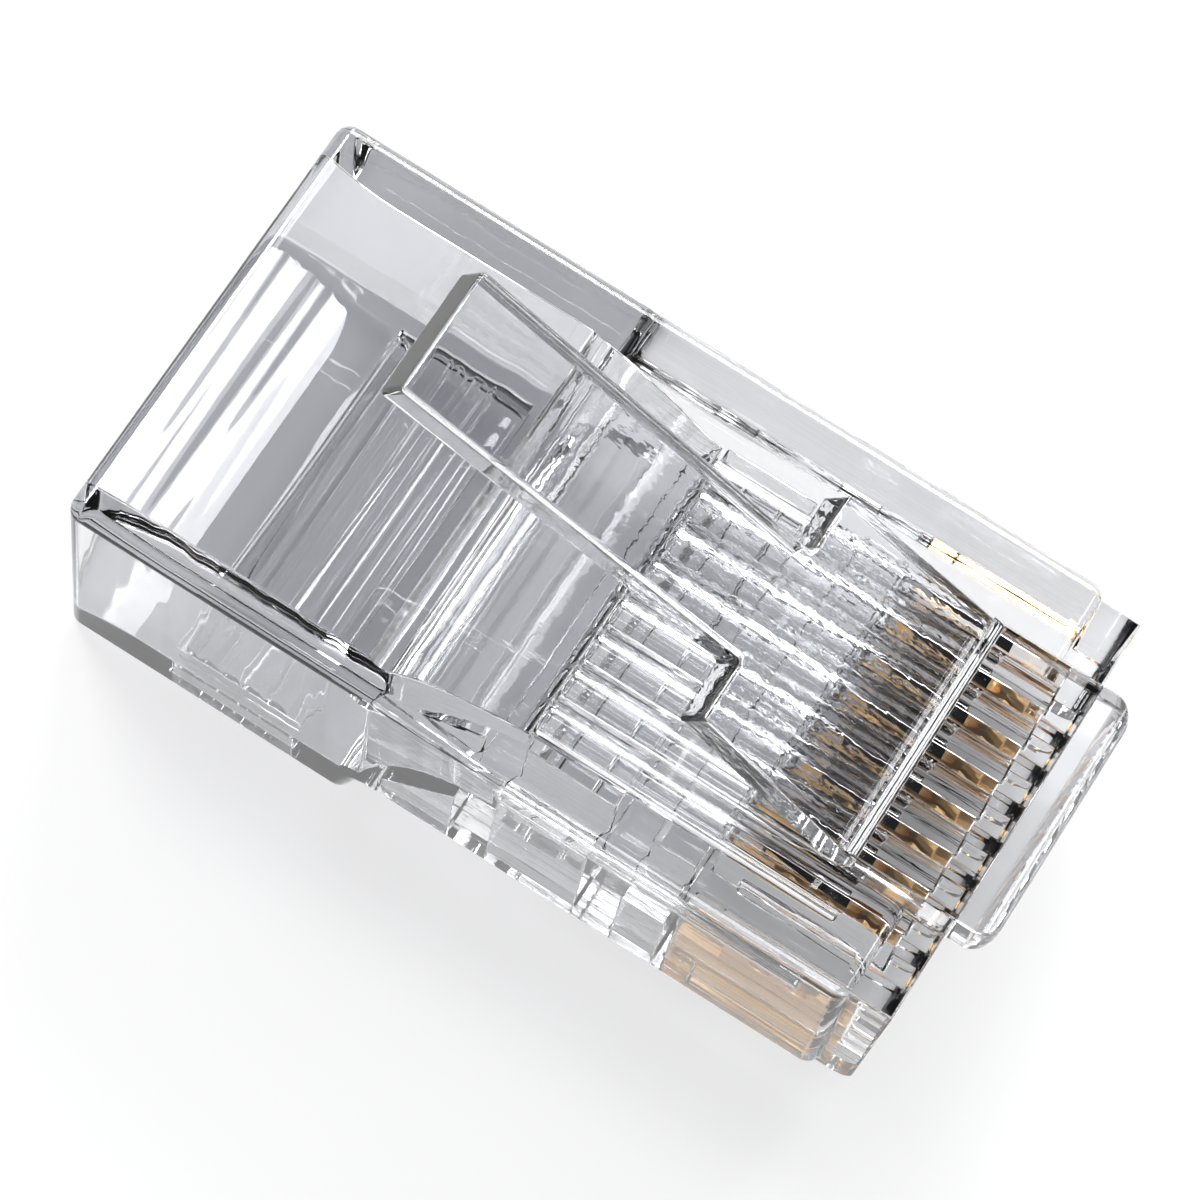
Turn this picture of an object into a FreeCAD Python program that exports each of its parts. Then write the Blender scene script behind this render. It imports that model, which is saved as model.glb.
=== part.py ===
import FreeCAD, Part
import math
import os
import Sketcher

# Clear eight-way modular plug, waiting for its cable.
#
# Every sub-part is drawn in the plug's own axes: X across the width, Y from the front lip (y = 0) back to the
# cable entry, Z up from the underside of the rear block, with the latch on top. Each placement then moves the
# plug back by half its length, so that the origin is under the middle of the whole plug.

# alias, size in millimetres (angles in degrees), meaning
DIMENSIONS = [
    ("body_width", 11.68, "width of the moulded body"),
    ("body_length", 21.9, "front lip to cable entry"),
    ("body_height", 8.0, "underside of the rear block to the latch side"),
    ("rear_block_length", 7.86, "thicker block at the cable entry"),
    ("underside_step", 1.46, "how far the front underside stands above the rear block"),
    ("step_run", 0.4, "length of the slope between the two undersides"),
    ("edge_radius", 0.4, "rounding of the long outer edges"),
    ("lip_length", 1.05, "front lip, from the top edge of the body forward"),
    ("lip_drop", 0.27, "lip below the latch side of the body"),
    ("lip_inset", 0.28, "lip inside each side of the body"),
    ("lip_lean", 0.2, "foot of the lip's front face behind its top edge"),
    ("lip_radius", 0.5, "rounding of the lip's foot"),
    ("side_wall", 1.05, "wall at each side of the cable cavity"),
    ("roof_wall", 1.1, "wall above the cable cavity"),
    ("floor_wall", 1.1, "wall below the cable cavity"),
    ("cavity_depth", 7.6, "full section of the cable cavity"),
    ("jacket_stop", 0.4, "step in roof and floor that stops the cable's jacket"),
    ("stop_radius", 0.35, "rounding of that step"),
    ("throat_length", 0.5, "straight throat between that step and the funnel"),
    ("mouth_flare", 0.5, "rise and fall of the bell mouth of the cavity"),
    ("mouth_side_flare", 0.15, "bell mouth at each side"),
    ("mouth_depth", 2.2, "depth of the bell mouth"),
    ("mouth_bow", 0.25, "share of the flare left half way in"),
    ("funnel_length", 3.95, "taper from the cavity down to the wires"),
    ("funnel_bow", 0.82, "share of the funnel's rise reached half way along"),
    ("wire_pitch", 1.02, "spacing of the wires and of the blades"),
    ("wire_count", 8, "number of wires"),
    ("wire_bore", 0.9, "round channel of one wire"),
    ("wire_level", 5.45, "height of the wire channels' centres"),
    ("wire_end", 2.3, "front end of the wire channels"),
    ("funnel_margin", 0.15, "funnel's narrow end beyond the channels"),
    ("blade_front", 0.85, "front edge of the blades"),
    ("blade_length", 4.5, "length of a blade's base along the plug"),
    ("blade_thickness", 0.32, "thickness of a blade"),
    ("blade_height", 4.15, "bottom edge to tooth tips"),
    ("blade_base_height", 2.6, "bottom edge to the shoulders of the base"),
    ("comb_setback", 0.4, "first tooth behind the blade's front edge"),
    ("tooth_pitch", 0.98, "spacing of the piercing teeth"),
    ("blade_proud", 0.4, "blades stand this far out before crimping"),
    ("blade_radius", 0.45, "rounded bottom corners of a blade"),
    ("tooth_depth", 0.5, "height of the piercing teeth"),
    ("notch_radius", 0.28, "rounded notch between two teeth"),
    ("blade_clearance", 0.05, "gap between a blade and its slot, all round"),
    ("crimp_travel", 0.65, "how far crimping drives the blades in"),
    ("groove_width", 0.62, "groove for the jack's spring wire"),
    ("groove_depth", 1.0, "depth of that groove"),
    ("groove_end", 4.65, "rear end of that groove"),
    ("pocket_width", 8.8, "width of the moulding pockets and clamp windows"),
    ("pocket_roof", 0.75, "wall left above a moulding pocket"),
    ("front_pocket_start", 5.6, "first pocket behind the blades"),
    ("front_pocket_length", 1.2, "its length"),
    ("wire_window_start", 7.82, "window of the wire clamp"),
    ("wire_window_length", 2.45, "its length"),
    ("rear_pocket_start", 11.3, "pocket under the funnel"),
    ("rear_pocket_length", 1.9, "its length"),
    ("rear_pocket_drop", 2.0, "fall of its roof, beside the funnel"),
    ("funnel_wall", 1.1, "wall between that pocket and the wires"),
    ("jacket_window_start", 15.64, "window of the jacket clamp"),
    ("jacket_window_length", 3.46, "its length"),
    ("clamp_clearance", 0.12, "gap between a clamp bar and its window"),
    ("wire_clamp_height", 0.9, "height of the wire clamp bar"),
    ("wire_clamp_lean", 0.3, "its rear face leans forward by this much"),
    ("wire_clamp_rise", 2.3, "bar above the front underside"),
    ("keel_length", 1.0, "thicker middle of the wire clamp bar"),
    ("keel_depth", 0.2, "how far it stands out above and below"),
    ("jacket_clamp_height", 0.95, "height of the jacket clamp bar"),
    ("jacket_clamp_lean", 0.55, "its front face leans back by this much"),
    ("grip_groove_width", 0.5, "vee grooves across the jacket clamp bar"),
    ("grip_groove_depth", 0.35, "depth of those grooves"),
    ("grip_groove_pitch", 0.6, "spacing of those grooves"),
    ("grip_groove_count", 4, "number of those grooves"),
    ("latch_width", 6.56, "latch at its root"),
    ("shoulder_width", 6.24, "latch at its shoulders"),
    ("arm_width", 3.06, "latch arm behind the shoulders"),
    ("arm_end_width", 3.38, "latch arm at its free end"),
    ("nose_reach", 1.0, "latch root in front of the lip"),
    ("nose_height", 1.2, "latch root above the body"),
    ("nose_radius", 0.6, "rounded front and corners of the latch root"),
    ("pivot_y", 3.15, "where the latch bends, from the lip"),
    ("pivot_rise", 0.64, "where the latch bends, above the body"),
    ("root_radius", 0.56, "half the latch's thickness at its root"),
    ("root_clearance", 0.05, "gap round the latch's root"),
    ("seat_setback", 0.3, "latch root's seat ends this far before the bend"),
    ("ramp_angle", 30.0, "rise of the latch from its root to its shoulders"),
    ("ramp_length", 4.67, "bend to shoulders"),
    ("arm_run", 9.68, "shoulders to free end, along the ramp's line"),
    ("arm_dip", 1.28, "free end below the ramp's line"),
    ("arm_end_thickness", 1.15, "thickness of the arm at its free end"),
    ("arm_rounding", 0.15, "rounded edges of the shoulders and arm"),
]

# Heights and lengths that several pieces share, as sheet expressions.
SHIFT = "-(Dims.body_length - Dims.nose_reach) / 2"
FRONT_UNDERSIDE = "Dims.underside_step"
REAR_STEP = "Dims.body_length - Dims.rear_block_length"
CAVITY_END = "Dims.body_length - Dims.cavity_depth"
FUNNEL_END = CAVITY_END + " - Dims.funnel_length"
CAVITY_ROOF = "Dims.body_height - Dims.roof_wall"
WIRE_FLOOR = "Dims.wire_level - Dims.wire_bore / 2"
WIRE_ROOF = "Dims.wire_level + Dims.wire_bore / 2"
FIRST_WIRE = "-(Dims.wire_count - 1) / 2 * Dims.wire_pitch"
BLADE_BOTTOM = "Dims.underside_step - Dims.blade_proud"
BLADE_SLOT_WIDTH = "Dims.blade_thickness + 2 * Dims.blade_clearance"
CRIMPED_TIPS = "%s + Dims.blade_height + Dims.crimp_travel" % BLADE_BOTTOM
PIVOT_Z = "Dims.body_height + Dims.pivot_rise"

# A blade pierces its wire with three teeth.
TOOTH_COUNT = 3

# Two places closer than this, in millimetres, are the same place.
TOUCH = 1e-6


def make_sheet(doc):
    """Spreadsheet of driving dimensions: meaning in column A, size in column B."""
    sheet = doc.addObject("Spreadsheet::Sheet", "Dims")
    for row, (alias, size, meaning) in enumerate(DIMENSIONS, start=1):
        sheet.set("A%d" % row, meaning)
        sheet.set("B%d" % row, str(size))
        sheet.setAlias("B%d" % row, alias)
    doc.recompute()
    return sheet


def make_body(doc, name, across="0", back=SHIFT, up="0"):
    """Empty body whose placement follows the sheet."""
    body = doc.addObject("PartDesign::Body", name)
    body.Label = name
    for axis, text in (("x", across), ("y", back), ("z", up)):
        body.setExpression("Placement.Base." + axis, text)
    return body


def origin_plane(body, role):
    return next(part for part in body.Origin.OriginFeatures if part.Role == role)


def make_sketch(body, name, role, offset=None):
    """Sketch on one of the body's own origin planes, moved along the plane's normal."""
    sketch = body.newObject("Sketcher::SketchObject", name)
    sketch.AttachmentSupport = (origin_plane(body, role), [""])
    sketch.MapMode = "FlatFace"
    if offset:
        sketch.setExpression("AttachmentOffset.Base.z", offset)
    return sketch


def pin_point(sketch, edge, end, across, up):
    """Hold one sketch point at a pair of sheet expressions."""
    start = sketch.getPoint(edge, end)
    for kind, value, text in (("DistanceX", start.x, across), ("DistanceY", start.y, up)):
        number = sketch.addConstraint(Sketcher.Constraint(kind, edge, end, value))
        sketch.setExpression("Constraints[%d]" % number, text)


def draw_outline(sketch, corners):
    """Closed outline of straight edges. It starts as a round polygon and its corners are then pinned."""
    count = len(corners)
    turn = 2 * math.pi / count
    rough = [FreeCAD.Vector(math.cos(turn * i), math.sin(turn * i), 0) for i in range(count)]
    first = sketch.GeometryCount
    for i in range(count):
        sketch.addGeometry(Part.LineSegment(rough[i], rough[(i + 1) % count]), False)
    for i in range(count):
        sketch.addConstraint(Sketcher.Constraint("Coincident", first + i, 2, first + (i + 1) % count, 1))
    for i, (across, up) in enumerate(corners):
        pin_point(sketch, first + i, 1, across, up)


def draw_box(sketch, low, high):
    """Rectangle between two opposite corners, each a pair of sheet expressions."""
    draw_outline(sketch, [low, (high[0], low[1]), high, (low[0], high[1])])


def draw_circle(sketch, centre, radius):
    edge = sketch.addGeometry(Part.Circle(FreeCAD.Vector(0, 0, 0), FreeCAD.Vector(0, 0, 1), 1.0), False)
    pin_point(sketch, edge, 3, *centre)
    number = sketch.addConstraint(Sketcher.Constraint("Radius", edge, 1.0))
    sketch.setExpression("Constraints[%d]" % number, radius)


def extrude(body, kind, name, sketch, length, side="Symmetric", forward=False):
    """Pad or pocket of a sketch: to both sides of its plane, or to one side of it."""
    feature = body.newObject("PartDesign::" + kind, name)
    feature.Profile = sketch
    feature.SideType = side
    feature.Reversed = forward
    feature.setExpression("Length", length)
    sketch.Visibility = False
    return feature


def side_feature(body, kind, name, corners, width):
    """Pad or pocket of a side profile, centred across the plug's width."""
    sketch = make_sketch(body, name + "_profile", "YZ_Plane")
    draw_outline(sketch, corners)
    return extrude(body, kind, name, sketch, width)


def repeat_across(body, name, feature):
    """Repeat a feature once for each wire, in steps of the wire pitch."""
    pattern = body.newObject("PartDesign::LinearPattern", name)
    pattern.Originals = [feature]
    pattern.Direction = (origin_plane(body, "X_Axis"), [""])
    pattern.setExpression("Length", "(Dims.wire_count - 1) * Dims.wire_pitch")
    pattern.setExpression("Occurrences", "Dims.wire_count")
    body.Tip = pattern
    return pattern


def loft_out(body, name, sketches):
    """Hollow that runs smoothly through a row of sections."""
    loft = body.newObject("PartDesign::SubtractiveLoft", name)
    loft.Profile = sketches[0]
    loft.Sections = sketches[1:]
    return loft


def cross_section(body, name, distance, half_width, low, high):
    """Upright rectangle across the plug, at a distance behind the lip."""
    sketch = make_sketch(body, name, "XZ_Plane", "-(%s)" % distance)
    draw_box(sketch, ("-(%s)" % half_width, low), (half_width, high))
    return sketch


def edges_where(shape, test):
    """Names of the edges whose two ends both pass a test."""
    names = []
    for number, edge in enumerate(shape.Edges, start=1):
        if len(edge.Vertexes) == 2 and all(test(vertex.Point) for vertex in edge.Vertexes):
            names.append("Edge%d" % number)
    return names


def round_edges(body, name, radius, test):
    """Fillet of every edge of the body's present shape that passes a test."""
    body.Document.recompute()
    base = body.Tip
    fillet = body.newObject("PartDesign::Fillet", name)
    fillet.Base = (base, edges_where(base.Shape, test))
    fillet.setExpression("Radius", radius)
    return fillet


def make_housing(doc, sheet):
    body = make_body(doc, "housing")
    block = [
        ("Dims.lip_length", FRONT_UNDERSIDE),
        (REAR_STEP + " - Dims.step_run", FRONT_UNDERSIDE),
        (REAR_STEP, "0"),
        ("Dims.body_length", "0"),
        ("Dims.body_length", "Dims.body_height"),
        ("Dims.lip_length", "Dims.body_height"),
    ]
    side_feature(body, "Pad", "block", block, "Dims.body_width")
    round_long_edges(body, sheet)
    add_lip(body, sheet)
    add_latch_root(body, sheet)
    hollow_cable_side(body, sheet)
    hollow_wire_side(body)
    cut_blade_slots(body)
    cut_pockets(body)
    return body


def round_long_edges(body, sheet):
    """Round every edge of the body's two sides."""
    half = float(sheet.body_width) / 2

    def on_side(point):
        return abs(abs(point.x) - half) < TOUCH

    round_edges(body, "long_edges", "Dims.edge_radius", on_side)


def add_lip(body, sheet):
    """Lip in front of the body, with a face that leans back and a rounded foot."""
    root = "Dims.lip_length + Dims.edge_radius"
    wedge = [
        ("0", "Dims.body_height - Dims.lip_drop"),
        ("Dims.lip_lean", FRONT_UNDERSIDE),
        (root, FRONT_UNDERSIDE),
        (root, "Dims.body_height - Dims.lip_drop"),
    ]
    side_feature(body, "Pad", "lip", wedge, "Dims.body_width - 2 * Dims.lip_inset")
    foot_y, foot_z = float(sheet.lip_lean), float(sheet.underside_step)

    def at_foot(point):
        return abs(point.y - foot_y) < TOUCH and abs(point.z - foot_z) < TOUCH

    round_edges(body, "lip_rounding", "Dims.lip_radius", at_foot)


def add_latch_root(body, sheet):
    """Slab on top of the front, with a rounded nose and a round seat for the latch lever."""
    seat = "Dims.pivot_y - Dims.seat_setback"
    top = "Dims.body_height + Dims.nose_height"
    low = "Dims.body_height - Dims.lip_drop"
    slab = [("-Dims.nose_reach", low), (seat, low), (seat, top), ("-Dims.nose_reach", top)]
    side_feature(body, "Pad", "latch_root", slab, "Dims.latch_width")
    front = -float(sheet.nose_reach)

    def at_front(point):
        return abs(point.y - front) < TOUCH

    round_edges(body, "nose_rounding", "Dims.nose_radius", at_front)
    seat_sketch = make_sketch(body, "latch_seat_profile", "YZ_Plane")
    draw_circle(seat_sketch, ("Dims.pivot_y", PIVOT_Z), "Dims.root_radius + Dims.root_clearance")
    extrude(body, "Pocket", "latch_seat", seat_sketch, "Dims.latch_width")


def hollow_cable_side(body, sheet):
    """Cable cavity with its bell mouth, the step that stops the jacket, and the funnel down to the wires."""
    inner_half = "Dims.body_width / 2 - Dims.side_wall"
    wire_half = "((Dims.wire_count - 1) * Dims.wire_pitch + Dims.wire_bore) / 2 + Dims.funnel_margin"
    middle_half = "(%s + %s) / 2" % (inner_half, wire_half)
    wire_low = WIRE_FLOOR + " - Dims.funnel_margin"
    wire_high = WIRE_ROOF + " + Dims.funnel_margin"
    bowed_low = "Dims.floor_wall + Dims.funnel_bow * (%s - Dims.floor_wall)" % wire_low
    bowed_high = "%s + (1 - Dims.funnel_bow) * (%s - (%s))" % (CAVITY_ROOF, wire_high, CAVITY_ROOF)

    cavity = cross_section(body, "cavity_section", "Dims.body_length", inner_half, "Dims.floor_wall", CAVITY_ROOF)
    extrude(body, "Pocket", "cable_cavity", cavity, "Dims.cavity_depth", "One side", forward=True)

    outer = mouth_section(body, "mouth_outer", "Dims.body_length", inner_half, "1")
    middle = mouth_section(body, "mouth_middle", "Dims.body_length - Dims.mouth_depth / 2", inner_half,
                           "Dims.mouth_bow")
    inner = mouth_section(body, "mouth_inner", "Dims.body_length - Dims.mouth_depth", inner_half, "0")
    loft_out(body, "cable_mouth", [outer, middle, inner])

    stop_low = "Dims.floor_wall + Dims.jacket_stop"
    stop_high = CAVITY_ROOF + " - Dims.jacket_stop"
    throat = cross_section(body, "throat_section", CAVITY_END, inner_half, stop_low, stop_high)
    extrude(body, "Pocket", "throat", throat, "Dims.throat_length", "One side", forward=True)
    end = float(sheet.body_length - sheet.cavity_depth)
    levels = (float(sheet.floor_wall + sheet.jacket_stop),
              float(sheet.body_height - sheet.roof_wall - sheet.jacket_stop))

    def on_stop(point):
        return abs(point.y - end) < TOUCH and min(abs(point.z - level) for level in levels) < TOUCH

    round_edges(body, "stop_rounding", "Dims.stop_radius", on_stop)

    funnel_start = CAVITY_END + " - Dims.throat_length"
    wide = cross_section(body, "funnel_wide", funnel_start, inner_half, stop_low, stop_high)
    middle = cross_section(body, "funnel_middle", CAVITY_END + " - Dims.funnel_length / 2", middle_half,
                           bowed_low, bowed_high)
    narrow = cross_section(body, "funnel_narrow", FUNNEL_END, wire_half, wire_low, wire_high)
    loft_out(body, "wire_funnel", [wide, middle, narrow])


def mouth_section(body, name, distance, inner_half, share):
    """Section of the bell mouth, widened by a share of its full flare."""
    return cross_section(body, name, distance, "%s + %s * Dims.mouth_side_flare" % (inner_half, share),
                         "Dims.floor_wall - %s * Dims.mouth_flare" % share,
                         "%s + %s * Dims.mouth_flare" % (CAVITY_ROOF, share))


def hollow_wire_side(body):
    """Row of round channels that lead the wires over the blades."""
    sketch = make_sketch(body, "wire_channel_section", "XZ_Plane", "-(%s)" % FUNNEL_END)
    draw_circle(sketch, (FIRST_WIRE, "Dims.wire_level"), "Dims.wire_bore / 2")
    length = FUNNEL_END + " - Dims.wire_end"
    channel = extrude(body, "Pocket", "wire_channel", sketch, length, "One side", forward=True)
    repeat_across(body, "wire_channels", channel)


def cut_blade_slots(body):
    """Slot for each blade, up into its wire channel, and the groove for the jack's spring below it."""
    front = "Dims.blade_front - Dims.blade_clearance"
    back = "Dims.blade_front + Dims.blade_length + Dims.blade_clearance"
    half = "(%s) / 2" % BLADE_SLOT_WIDTH
    slot_top = CRIMPED_TIPS + " + Dims.blade_clearance"
    slot_sketch = make_sketch(body, "blade_slot_section", "XY_Plane", slot_top)
    draw_box(slot_sketch, ("%s - (%s)" % (FIRST_WIRE, half), front), ("%s + %s" % (FIRST_WIRE, half), back))
    slot = extrude(body, "Pocket", "blade_slot", slot_sketch, slot_top, "One side")
    repeat_across(body, "blade_slots", slot)

    groove_half = "Dims.groove_width / 2"
    groove_sketch = make_sketch(body, "spring_groove_section", "XY_Plane", FRONT_UNDERSIDE + " + Dims.groove_depth")
    draw_box(groove_sketch, ("%s - %s" % (FIRST_WIRE, groove_half), "0"),
             ("%s + %s" % (FIRST_WIRE, groove_half), "Dims.groove_end"))
    groove = extrude(body, "Pocket", "spring_groove", groove_sketch, "Dims.groove_depth + Dims.underside_step",
                     "One side")
    repeat_across(body, "spring_grooves", groove)


def cut_pockets(body):
    """Moulding pockets in the underside, and the windows of the two clamp bars."""
    roof = WIRE_FLOOR + " - Dims.pocket_roof"
    window_roof = "Dims.wire_level"
    wire_window_end = "Dims.wire_window_start + Dims.wire_window_length"
    front_end = "Dims.front_pocket_start + Dims.front_pocket_length"
    rear_end = "Dims.rear_pocket_start + Dims.rear_pocket_length"
    rear_roof = WIRE_FLOOR + " - Dims.funnel_wall"
    jacket_end = "Dims.jacket_window_start + Dims.jacket_window_length"

    box_pocket(body, "front_pocket", "Dims.front_pocket_start", front_end, roof)
    box_pocket(body, "wire_window", "Dims.wire_window_start", wire_window_end, window_roof)
    wedge = [("Dims.rear_pocket_start", "0"), (rear_end, "0"), (rear_end, rear_roof + " - Dims.rear_pocket_drop"),
             ("Dims.rear_pocket_start", rear_roof)]
    side_feature(body, "Pocket", "rear_pocket", wedge, "Dims.pocket_width")
    box_pocket(body, "jacket_window", "Dims.jacket_window_start", jacket_end, "Dims.floor_wall + Dims.clamp_clearance")


def box_pocket(body, name, start, end, roof):
    """Straight pocket up from the underside."""
    side_feature(body, "Pocket", name, [(start, "0"), (end, "0"), (end, roof), (start, roof)],
                 "Dims.pocket_width")


def make_latch_lever(doc, sheet):
    """Lever drawn along its ramp, with the bend at its own origin, then tilted up."""
    body = make_body(doc, "latch_lever", back=SHIFT + " + Dims.pivot_y", up=PIVOT_Z)
    body.Placement = FreeCAD.Placement(FreeCAD.Vector(0, 0, 0), FreeCAD.Rotation(FreeCAD.Vector(1, 0, 0), 1))
    body.setExpression("Placement.Rotation.Angle", "Dims.ramp_angle")
    radius = "Dims.root_radius"
    end = "Dims.ramp_length + Dims.arm_run"
    profile = [
        ("0", "-" + radius),
        ("Dims.ramp_length", "-" + radius),
        (end, "-%s - Dims.arm_dip" % radius),
        (end, "-%s - Dims.arm_dip + Dims.arm_end_thickness" % radius),
        ("Dims.ramp_length", radius),
        ("0", radius),
    ]
    side_feature(body, "Pad", "lever_strip", profile, "Dims.latch_width")
    root = make_sketch(body, "root_profile", "YZ_Plane")
    draw_circle(root, ("0", "0"), radius)
    extrude(body, "Pad", "round_root", root, "Dims.latch_width")
    for name, side in (("right_trim", "1"), ("left_trim", "-1")):
        trim_lever_side(body, name, side)
    shoulder = float(sheet.ramp_length)

    def behind_shoulders(point):
        return point.y > shoulder - TOUCH

    round_edges(body, "arm_edges", "Dims.arm_rounding", behind_shoulders)
    return body


def trim_lever_side(body, name, side):
    """Cut one side of the strip back to the tapered ramp, the shoulder and the narrow arm."""
    end = "Dims.ramp_length + Dims.arm_run"
    outside = "%s * Dims.latch_width" % side
    corners = [
        ("%s * Dims.latch_width / 2" % side, "0"),
        ("%s * Dims.shoulder_width / 2" % side, "Dims.ramp_length"),
        ("%s * Dims.arm_width / 2" % side, "Dims.ramp_length"),
        ("%s * Dims.arm_end_width / 2" % side, end),
        (outside, end),
        (outside, "0"),
    ]
    sketch = make_sketch(body, name + "_outline", "XY_Plane")
    draw_outline(sketch, corners)
    extrude(body, "Pocket", name, sketch, "2 * (Dims.arm_dip + 2 * Dims.root_radius)")


def make_wire_clamp(doc):
    """Bar in the wire window: it swings up about its rear lower edge to grip the wires."""
    body = make_body(doc, "wire_clamp")
    front = "Dims.wire_window_start + Dims.clamp_clearance"
    back = "Dims.wire_window_start + Dims.wire_window_length - Dims.clamp_clearance"
    low = FRONT_UNDERSIDE + " + Dims.wire_clamp_rise"
    high = low + " + Dims.wire_clamp_height"
    width = "Dims.pocket_width - 2 * Dims.clamp_clearance"
    profile = [(front, low), (back, low), (back + " - Dims.wire_clamp_lean", high), (front, high)]
    side_feature(body, "Pad", "clamp_bar", profile, width)
    middle = "Dims.wire_window_start + Dims.wire_window_length / 2"
    keel_front, keel_back = middle + " - Dims.keel_length / 2", middle + " + Dims.keel_length / 2"
    keel_low, keel_high = low + " - Dims.keel_depth", high + " + Dims.keel_depth"
    keel = [(keel_front, keel_low), (keel_back, keel_low), (keel_back, keel_high), (keel_front, keel_high)]
    side_feature(body, "Pad", "clamp_keel", keel, width)
    return body


def make_jacket_clamp(doc):
    """Bar in the jacket window: it swings up about its front lower edge to grip the cable's jacket."""
    body = make_body(doc, "jacket_clamp")
    front = "Dims.jacket_window_start + Dims.clamp_clearance"
    back = "Dims.jacket_window_start + Dims.jacket_window_length - Dims.clamp_clearance"
    low = "Dims.clamp_clearance"
    high = low + " + Dims.jacket_clamp_height"
    profile = [(front, low), (back, low), (back, high), (front + " + Dims.jacket_clamp_lean", high)]
    width = "Dims.pocket_width - 2 * Dims.clamp_clearance"
    side_feature(body, "Pad", "clamp_bar", profile, width)
    rear_edge = back + " - (Dims.grip_groove_pitch - Dims.grip_groove_width)"
    front_edge = rear_edge + " - Dims.grip_groove_width"
    bottom = (rear_edge + " - Dims.grip_groove_width / 2", high + " - Dims.grip_groove_depth")
    vee = [(front_edge, high), bottom, (rear_edge, high)]
    groove = side_feature(body, "Pocket", "grip_groove", vee, width)
    pattern = body.newObject("PartDesign::LinearPattern", "grip_grooves")
    pattern.Originals = [groove]
    pattern.Direction = (origin_plane(body, "Y_Axis"), [""])
    pattern.Reversed = True
    pattern.setExpression("Length", "(Dims.grip_groove_count - 1) * Dims.grip_groove_pitch")
    pattern.setExpression("Occurrences", "Dims.grip_groove_count")
    body.Tip = pattern
    return body


def make_contact(doc, sheet, number):
    """Blade with a long base, a comb of three piercing teeth on it and rounded bottom corners."""
    across = "%s + %d * Dims.wire_pitch" % (FIRST_WIRE, number - 1)
    body = make_body(doc, "contact_%d" % number, across=across)
    front = "Dims.blade_front"
    back = front + " + Dims.blade_length"
    low = BLADE_BOTTOM
    high = low + " + Dims.blade_height"
    shoulder = low + " + Dims.blade_base_height"
    root = high + " - Dims.tooth_depth"
    comb = front + " + Dims.comb_setback"
    side_feature(body, "Pad", "blade_base", [(front, low), (back, low), (back, shoulder), (front, shoulder)],
                 "Dims.blade_thickness")
    teeth = [("%s + %d * Dims.tooth_pitch" % (comb, TOOTH_COUNT), shoulder)]
    for tooth in reversed(range(TOOTH_COUNT)):
        teeth.append(("%s + %d * Dims.tooth_pitch" % (comb, tooth + 1), root))
        teeth.append(("%s + (%d + 1 / 2) * Dims.tooth_pitch" % (comb, tooth), high))
    teeth += [(comb, root), (comb, shoulder)]
    side_feature(body, "Pad", "blade_comb", teeth, "Dims.blade_thickness")
    for notch in range(1, TOOTH_COUNT):
        sketch = make_sketch(body, "notch_profile_%d" % notch, "YZ_Plane")
        draw_circle(sketch, ("%s + %d * Dims.tooth_pitch" % (comb, notch), root), "Dims.notch_radius")
        extrude(body, "Pocket", "notch_%d" % notch, sketch, BLADE_SLOT_WIDTH)
    bottom = float(sheet.underside_step) - float(sheet.blade_proud)
    ends = (float(sheet.blade_front), float(sheet.blade_front) + float(sheet.blade_length))
    for name, end in zip(("front_corner", "back_corner"), ends):
        round_corner(body, name, end, bottom)
    return body


def round_corner(body, name, end, bottom):
    """Round the bottom corner at one end of a blade."""

    def at_corner(point):
        return abs(point.y - end) < TOUCH and abs(point.z - bottom) < TOUCH

    round_edges(body, name, "Dims.blade_radius", at_corner)


def check_document(doc, parts):
    """Stop if any feature failed or any sub-part is not one valid solid."""
    for item in doc.Objects:
        if "Invalid" in item.State or "Error" in item.State:
            raise RuntimeError("%s failed: %s" % (item.Name, item.State))
    for part in parts:
        if part.Shape.isNull() or not part.Shape.isValid() or len(part.Shape.Solids) != 1:
            raise RuntimeError("%s is not one valid solid" % part.Label)


def main():
    doc = FreeCAD.newDocument("modular_plug")
    sheet = make_sheet(doc)
    parts = [make_housing(doc, sheet), make_latch_lever(doc, sheet), make_wire_clamp(doc), make_jacket_clamp(doc)]
    parts += [make_contact(doc, sheet, number + 1) for number in range(int(sheet.wire_count))]
    doc.recompute()
    check_document(doc, parts)
    os.makedirs("parts", exist_ok=True)
    for part in parts:
        part.Shape.exportStep("parts/%s.step" % part.Label)
        print("%-14s volume %8.3f mm3" % (part.Label, part.Shape.Volume), part.Shape.BoundBox)


main()
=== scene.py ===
import math

import bmesh
import bpy
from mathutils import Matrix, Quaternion, Vector


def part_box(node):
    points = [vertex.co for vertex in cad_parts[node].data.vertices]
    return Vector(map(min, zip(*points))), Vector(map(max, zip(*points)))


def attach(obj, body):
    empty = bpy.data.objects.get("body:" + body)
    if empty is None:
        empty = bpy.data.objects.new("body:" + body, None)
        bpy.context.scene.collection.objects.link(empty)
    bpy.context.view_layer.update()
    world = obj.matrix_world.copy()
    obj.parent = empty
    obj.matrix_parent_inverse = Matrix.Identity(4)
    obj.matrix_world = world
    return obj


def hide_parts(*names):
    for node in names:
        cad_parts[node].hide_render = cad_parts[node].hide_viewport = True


MM = 0.001

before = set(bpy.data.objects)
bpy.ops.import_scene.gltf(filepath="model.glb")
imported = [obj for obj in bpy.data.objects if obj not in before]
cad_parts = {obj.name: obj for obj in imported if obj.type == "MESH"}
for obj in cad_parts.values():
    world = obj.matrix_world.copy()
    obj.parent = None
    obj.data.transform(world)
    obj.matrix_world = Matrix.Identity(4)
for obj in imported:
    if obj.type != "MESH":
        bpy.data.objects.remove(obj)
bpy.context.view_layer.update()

# ---------------------------------------------------------------- camera

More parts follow.
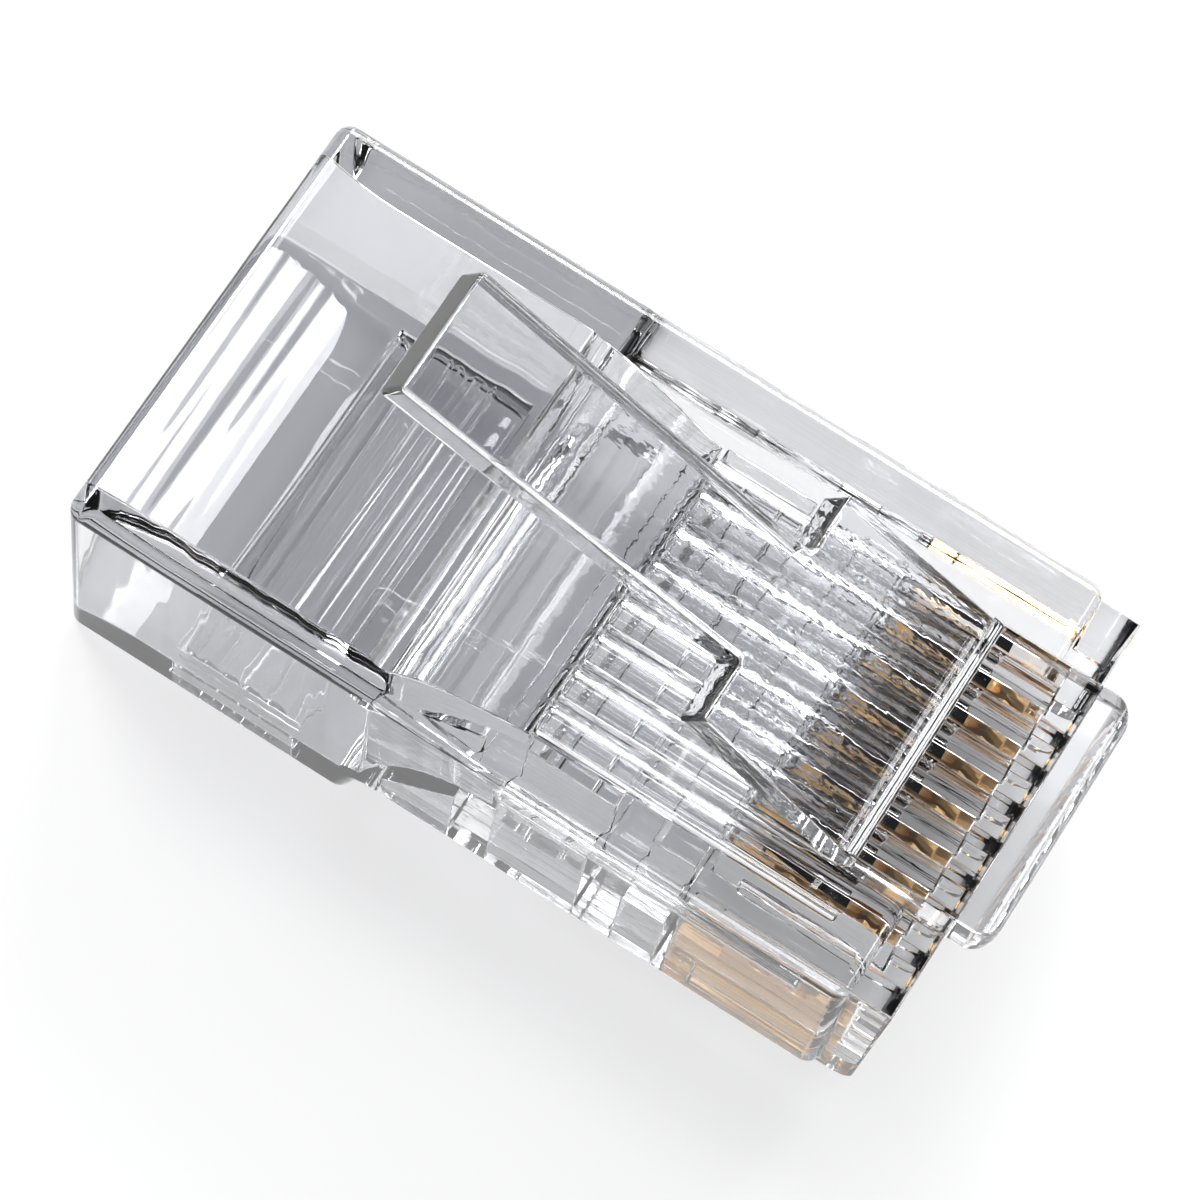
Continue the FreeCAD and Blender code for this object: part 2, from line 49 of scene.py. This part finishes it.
VIEW_AZIMUTH = -71.83
VIEW_ELEVATION = 70.81
VIEW_ROLL = 14.77
VIEW_DISTANCE = 125.14 * MM
LENS = 160.76
SENSOR = 36.0
NEAREST = 1 * MM
FARTHEST = 100.0
AIM_POINT = Vector((0.25, 0.56, 4.4)) * MM


def add_camera():
    """Long lens looking down on the latch side, with the front of the plug nearer than the cable entry."""
    azimuth = math.radians(VIEW_AZIMUTH)
    elevation = math.radians(VIEW_ELEVATION)
    back = Vector((math.sin(azimuth) * math.cos(elevation),
                   -math.cos(azimuth) * math.cos(elevation),
                   math.sin(elevation)))
    data = bpy.data.cameras.new("camera")
    data.lens = LENS
    data.sensor_width = SENSOR
    data.clip_start = NEAREST
    data.clip_end = FARTHEST
    camera = bpy.data.objects.new("camera", data)
    camera.location = AIM_POINT + back * VIEW_DISTANCE
    level = back.to_track_quat("Z", "Y")
    camera.rotation_euler = (level @ Quaternion((0, 0, 1), math.radians(VIEW_ROLL))).to_euler()
    bpy.context.collection.objects.link(camera)
    bpy.context.scene.camera = camera


# ---------------------------------------------------------------- materials

# Sockets of a Mix node: its factor, and its two values as numbers and as colours.
FACTOR = 0
NUMBER_A, NUMBER_B = 2, 3
COLOUR_A, COLOUR_B = 6, 7
MIXED_NUMBER, MIXED_COLOUR = 0, 2


def new_material(name):
    material = bpy.data.materials.new(name)
    material.use_nodes = True
    material.node_tree.nodes.clear()
    return material, material.node_tree


def add_node(tree, kind, **settings):
    """New node, with each setting put on the socket of that name, or else on the node itself."""
    node = tree.nodes.new(kind)
    for key, value in settings.items():
        if key in node.inputs:
            node.inputs[key].default_value = value
        else:
            setattr(node, key, value)
    return node


def wavy_normal(tree, coords, scales, detail, distance):
    """Bump from noise stretched by its scales along X, Y and Z, given in waves per metre."""
    stretch = add_node(tree, "ShaderNodeMapping", Scale=scales)
    noise = add_node(tree, "ShaderNodeTexNoise", Scale=1.0, Detail=detail)
    bump = add_node(tree, "ShaderNodeBump", Distance=distance)
    tree.links.new(coords.outputs["Object"], stretch.inputs["Vector"])
    tree.links.new(stretch.outputs["Vector"], noise.inputs["Vector"])
    tree.links.new(noise.outputs["Fac"], bump.inputs["Height"])
    return bump


# Tint of the light that crosses a face squarely, and of the light that crosses it at a slant.
SQUARE_TINT = (0.84, 0.845, 0.865, 1)
SLANT_TINT = (0.25, 0.25, 0.28, 1)
SQUARE_UP_TO = 0.1
SLANT_FROM = 0.9


def pass_shadow(tree, surface, output):
    """Let light through to the floor, less of it where it meets a face at a slant."""
    slant = add_node(tree, "ShaderNodeLayerWeight", Blend=0.5)
    share = add_node(tree, "ShaderNodeMapRange")
    share.inputs["From Min"].default_value = SQUARE_UP_TO
    share.inputs["From Max"].default_value = SLANT_FROM
    tint = add_node(tree, "ShaderNodeMix", data_type="RGBA")
    tint.inputs[COLOUR_A].default_value = SQUARE_TINT
    tint.inputs[COLOUR_B].default_value = SLANT_TINT
    clear = add_node(tree, "ShaderNodeBsdfTransparent")
    rays = add_node(tree, "ShaderNodeLightPath")
    mix = add_node(tree, "ShaderNodeMixShader")
    link = tree.links.new
    link(slant.outputs["Facing"], share.inputs["Value"])
    link(share.outputs["Result"], tint.inputs[FACTOR])
    link(tint.outputs[MIXED_COLOUR], clear.inputs["Color"])
    link(rays.outputs["Is Shadow Ray"], mix.inputs["Fac"])
    link(surface, mix.inputs[1])
    link(clear.outputs["BSDF"], mix.inputs[2])
    link(mix.outputs["Shader"], output.inputs["Surface"])


def zone_strength(tree, coords, start, full, strength):
    """Bump strength that rises along the plug, from none at start to its whole at full."""
    split = add_node(tree, "ShaderNodeSeparateXYZ")
    zone = add_node(tree, "ShaderNodeMapRange", interpolation_type="SMOOTHSTEP")
    zone.inputs["From Min"].default_value = start
    zone.inputs["From Max"].default_value = full
    zone.inputs["To Max"].default_value = strength
    tree.links.new(coords.outputs["Object"], split.inputs["Vector"])
    tree.links.new(split.outputs["Y"], zone.inputs["Value"])
    return zone.outputs["Result"]


# The plug is full height behind this place, where the jacket's cavity ends and the funnel starts.
STEP_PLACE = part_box("wire_clamp")[1][1] + 3.0 * MM
ZONE_BLEND = 1.0 * MM

PLASTIC_COLOUR = (0.92, 0.925, 0.94, 1)
PLASTIC_INDEX = 1.585

# Sink waves of the cable end, and flow lines of the wire end.
WAVE_SCALES = (60, 1100, 60)
WAVE_DETAIL = 1.0
WAVE_HEIGHT = 0.08 * MM
WAVE_STRENGTH = 0.42
FLOW_SCALES = (3600, 200, 3600)
FLOW_DETAIL = 2.0
FLOW_HEIGHT = 0.02 * MM


def clear_plastic(name, roughness, flow_strength, clearness=1.0):
    """Moulded clear polycarbonate.

    Sink waves lie across the cable end, and flow lines run along the wire end.
    """
    material, tree = new_material(name)
    coords = add_node(tree, "ShaderNodeTexCoord")
    waves = wavy_normal(tree, coords, WAVE_SCALES, WAVE_DETAIL, WAVE_HEIGHT)
    lines = wavy_normal(tree, coords, FLOW_SCALES, FLOW_DETAIL, FLOW_HEIGHT)
    shader = add_node(tree, "ShaderNodeBsdfPrincipled", Roughness=roughness, IOR=PLASTIC_INDEX)
    shader.inputs["Base Color"].default_value = PLASTIC_COLOUR
    shader.inputs["Transmission Weight"].default_value = clearness
    output = add_node(tree, "ShaderNodeOutputMaterial")
    in_front = STEP_PLACE - ZONE_BLEND
    behind = STEP_PLACE + ZONE_BLEND
    link = tree.links.new
    link(zone_strength(tree, coords, in_front, behind, WAVE_STRENGTH), waves.inputs["Strength"])
    link(zone_strength(tree, coords, behind, in_front, flow_strength), lines.inputs["Strength"])
    link(waves.outputs["Normal"], lines.inputs["Normal"])
    link(lines.outputs["Normal"], shader.inputs["Normal"])
    pass_shadow(tree, shader.outputs["BSDF"], output)
    return material


DULL_GOLD = (0.90, 0.52, 0.20, 1)
BRIGHT_GOLD = (0.96, 0.66, 0.32, 1)
GOLD_PATCHES = 900.0
GOLD_DETAIL = 4.0
GOLD_ROUGHNESS = (0.25, 0.45)
MARK_SCALES = (2000, 9000, 1200)
MARK_DETAIL = 3.0
MARK_HEIGHT = 0.01 * MM
MARK_STRENGTH = 0.35


def gold_plate():
    """Thin gold plating, with fine stamping marks on the blade and a redder tone in patches."""
    material, tree = new_material("gold_plate")
    coords = add_node(tree, "ShaderNodeTexCoord")
    noise = add_node(tree, "ShaderNodeTexNoise", Scale=GOLD_PATCHES, Detail=GOLD_DETAIL)
    ramp = add_node(tree, "ShaderNodeMapRange")
    ramp.inputs["To Min"].default_value, ramp.inputs["To Max"].default_value = GOLD_ROUGHNESS
    tone = add_node(tree, "ShaderNodeMix", data_type="RGBA")
    tone.inputs[COLOUR_A].default_value = DULL_GOLD
    tone.inputs[COLOUR_B].default_value = BRIGHT_GOLD
    marks = wavy_normal(tree, coords, MARK_SCALES, MARK_DETAIL, MARK_HEIGHT)
    marks.inputs["Strength"].default_value = MARK_STRENGTH
    shader = add_node(tree, "ShaderNodeBsdfPrincipled", Metallic=1.0)
    output = add_node(tree, "ShaderNodeOutputMaterial")
    link = tree.links.new
    link(coords.outputs["Object"], noise.inputs["Vector"])
    link(noise.outputs["Fac"], ramp.inputs["Value"])
    link(noise.outputs["Fac"], tone.inputs[FACTOR])
    link(tone.outputs[MIXED_COLOUR], shader.inputs["Base Color"])
    link(ramp.outputs["Result"], shader.inputs["Roughness"])
    link(marks.outputs["Normal"], shader.inputs["Normal"])
    link(shader.outputs["BSDF"], output.inputs["Surface"])
    return material


def paint(obj, *materials):
    obj.data.materials.clear()
    for material in materials:
        obj.data.materials.append(material)


# ---------------------------------------------------------------- pieces of the plug

FLAT_ANGLE = math.radians(0.5)
SHARP_ANGLE = math.radians(32)
SAME_PLACE = 0.0002 * MM
SIDEWAYS = 0.9
SIDE_REACH = 5.0 * MM
MOULDED_ROUNDING = 0.05 * MM
STAMPED_ROUNDING = 0.03 * MM


def merged_shape(node_name):
    """Shape of a CAD node, with the facets that lie in one plane made one face."""
    shape = bmesh.new()
    shape.from_mesh(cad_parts[node_name].data)
    bmesh.ops.remove_doubles(shape, verts=shape.verts, dist=SAME_PLACE)
    bmesh.ops.dissolve_limit(shape, angle_limit=FLAT_ANGLE, verts=shape.verts, edges=shape.edges,
                             use_dissolve_boundaries=False, delimit=set())
    for face in shape.faces:
        face.smooth = True
    return shape


def mark_corners(shape, rounding):
    """Keep the corners crisp, and mark those to round that are longer than the rounding."""
    weights = shape.edges.layers.float.new("bevel_weight_edge")
    for edge in shape.edges:
        if edge.is_manifold and edge.calc_face_angle() > SHARP_ANGLE:
            edge.smooth = False
            edge[weights] = 1.0 if edge.calc_length() > rounding else 0.0


def mark_sides(shape):
    """Give the second finish to the faces that look sideways, apart from the outermost walls."""
    for face in shape.faces:
        if abs(face.normal.x) > SIDEWAYS and abs(face.calc_center_median().x) < SIDE_REACH:
            face.material_index = 1


def add_rounding(piece, rounding):
    bevel = piece.modifiers.new("rounding", "BEVEL")
    bevel.width = rounding
    bevel.segments = 2
    bevel.use_clamp_overlap = False
    bevel.limit_method = "WEIGHT"
    shading = piece.modifiers.new("shading", "WEIGHTED_NORMAL")
    shading.mode = "FACE_AREA"
    shading.weight = 100
    shading.keep_sharp = True


def add_piece(name, node_name, body, rounding, finish, side_finish=None):
    """Piece that dresses a CAD node: its own shape, with slightly rounded corners."""
    shape = merged_shape(node_name)
    mark_corners(shape, rounding)
    finishes = [finish]
    if side_finish:
        mark_sides(shape)
        finishes.append(side_finish)
    mesh = bpy.data.meshes.new(name)
    shape.to_mesh(mesh)
    shape.free()
    piece = bpy.data.objects.new(name, mesh)
    bpy.context.collection.objects.link(piece)
    add_rounding(piece, rounding)
    paint(piece, *finishes)
    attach(piece, body)
    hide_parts(node_name)


def add_moulded_pieces():
    plastic = clear_plastic("clear_polycarbonate", roughness=0.015, flow_strength=0.3)
    satin = clear_plastic("satin_polycarbonate", roughness=0.22, flow_strength=0.6)
    frosted = clear_plastic("frosted_polycarbonate", roughness=0.5, flow_strength=0.6, clearness=0.12)
    for node_name, body, side_finish in (
            ("housing", "housing", satin),
            ("latch_lever", "latch", frosted),
            ("wire_clamp", "wire_grip", satin),
            ("jacket_clamp", "jacket_grip", satin)):
        add_piece("moulded_" + node_name, node_name, body, MOULDED_ROUNDING,
                  plastic, side_finish)


def add_blades():
    gold = gold_plate()
    for node_name in sorted(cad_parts):
        if node_name.startswith("contact"):
            add_piece("plated_" + node_name, node_name, "blades", STAMPED_ROUNDING, gold)


# ---------------------------------------------------------------- surroundings

FLOOR_COLOUR = (0.9, 0.9, 0.9, 1)
FLOOR_WHITE = 0.62              # share of plain white to the camera and in reflections
FLOOR_WHITE_THROUGH = 0.20      # the same through the plug, where the shadow has to show
FLOOR_HALF_SIZE = 1.5
AIR_FILM = 0.02 * MM            # keeps the floor just off the faces that the plug rests on


def floor_material():
    """Pale floor that shows white to the camera and in reflections, and its shadow through the plug."""
    material, tree = new_material("pale_floor")
    diffuse = add_node(tree, "ShaderNodeBsdfDiffuse")
    diffuse.inputs["Color"].default_value = FLOOR_COLOUR
    white = add_node(tree, "ShaderNodeEmission", Strength=1.0)
    rays = add_node(tree, "ShaderNodeLightPath")
    seen = add_node(tree, "ShaderNodeMath", operation="MAXIMUM")
    open_share = add_node(tree, "ShaderNodeMath", operation="MULTIPLY")
    open_share.inputs[1].default_value = FLOOR_WHITE
    share = add_node(tree, "ShaderNodeMix", data_type="FLOAT")
    share.inputs[NUMBER_B].default_value = FLOOR_WHITE_THROUGH
    mix = add_node(tree, "ShaderNodeMixShader")
    output = add_node(tree, "ShaderNodeOutputMaterial")
    link = tree.links.new
    link(rays.outputs["Is Camera Ray"], seen.inputs[0])
    link(rays.outputs["Is Glossy Ray"], seen.inputs[1])
    link(seen.outputs["Value"], open_share.inputs[0])
    link(rays.outputs["Is Transmission Ray"], share.inputs[FACTOR])
    link(open_share.outputs["Value"], share.inputs[NUMBER_A])
    link(share.outputs[MIXED_NUMBER], mix.inputs["Fac"])
    link(diffuse.outputs["BSDF"], mix.inputs[1])
    link(white.outputs["Emission"], mix.inputs[2])
    link(mix.outputs["Shader"], output.inputs["Surface"])
    return material


def add_floor():
    mesh = bpy.data.meshes.new("floor")
    shape = bmesh.new()
    bmesh.ops.create_grid(shape, x_segments=1, y_segments=1, size=FLOOR_HALF_SIZE)
    bmesh.ops.translate(shape, verts=shape.verts, vec=(0, 0, -AIR_FILM))
    shape.to_mesh(mesh)
    shape.free()
    floor = bpy.data.objects.new("floor", mesh)
    bpy.context.collection.objects.link(floor)
    paint(floor, floor_material())


ROOM_COLOUR = (0.80, 0.82, 0.90, 1)
ROOM_STRENGTH = 0.10
ROOM_WHITE = 0.08               # share of plain white in reflections and through the plug


def add_world():
    """Even grey-blue room that shows white to the camera, and a little white in metal and plastic."""
    world = bpy.data.worlds.new("room")
    bpy.context.scene.world = world
    world.use_nodes = True
    tree = world.node_tree
    tree.nodes.clear()
    rays = add_node(tree, "ShaderNodeLightPath")
    room = add_node(tree, "ShaderNodeBackground", Strength=ROOM_STRENGTH)
    room.inputs["Color"].default_value = ROOM_COLOUR
    white = add_node(tree, "ShaderNodeBackground", Strength=1.0)
    white.inputs["Color"].default_value = (1, 1, 1, 1)
    bright = add_node(tree, "ShaderNodeMath", operation="MAXIMUM")
    weak = add_node(tree, "ShaderNodeMath", operation="MULTIPLY_ADD")
    weak.inputs[1].default_value = ROOM_WHITE
    mix = add_node(tree, "ShaderNodeMixShader")
    output = add_node(tree, "ShaderNodeOutputWorld")
    link = tree.links.new
    link(rays.outputs["Is Glossy Ray"], bright.inputs[0])
    link(rays.outputs["Is Transmission Ray"], bright.inputs[1])
    link(bright.outputs["Value"], weak.inputs[0])
    link(rays.outputs["Is Camera Ray"], weak.inputs[2])
    link(weak.outputs["Value"], mix.inputs["Fac"])
    link(room.outputs["Background"], mix.inputs[1])
    link(white.outputs["Background"], mix.inputs[2])
    link(mix.outputs["Shader"], output.inputs["Surface"])


# Name, place, size and power of each lamp. All of them face the plug.
LAMPS = (
    ("key", (0.16, 0.26, 0.48), (0.14, 0.14), 1.5),
    ("side", (0.42, 0.04, 0.24), (0.40, 0.26), 3.3),
    ("near", (-0.40, -0.10, 0.30), (0.30, 0.20), 1.3),
    ("rear_strip", (0.15, 0.30, 0.42), (0.40, 0.04), 0.24),
    ("front_strip", (0.10, -0.50, 0.20), (0.40, 0.10), 0.9),
)


def add_lamp(name, place, size, watts):
    data = bpy.data.lights.new(name, "AREA")
    data.shape = "RECTANGLE"
    data.size, data.size_y = size
    data.energy = watts
    lamp = bpy.data.objects.new(name, data)
    lamp.location = place
    lamp.rotation_euler = (Vector(place) - AIM_POINT).to_track_quat("Z", "Y").to_euler()
    bpy.context.collection.objects.link(lamp)


DEEPEST_PATH = 10


def set_up_light_paths(scene):
    """Standard colours, and light paths deep enough for the many walls that the plug has in a row."""
    scene.view_settings.view_transform = "Standard"
    scene.cycles.max_bounces = DEEPEST_PATH
    scene.cycles.diffuse_bounces = 1
    scene.cycles.transmission_bounces = DEEPEST_PATH
    scene.cycles.transparent_max_bounces = DEEPEST_PATH
    scene.cycles.use_light_tree = False    # five lamps are sampled faster without it
    scene.cycles.caustics_reflective = False
    scene.cycles.caustics_refractive = False


add_camera()
add_moulded_pieces()
add_blades()
add_floor()
add_world()
for lamp_settings in LAMPS:
    add_lamp(*lamp_settings)
set_up_light_paths(bpy.context.scene)
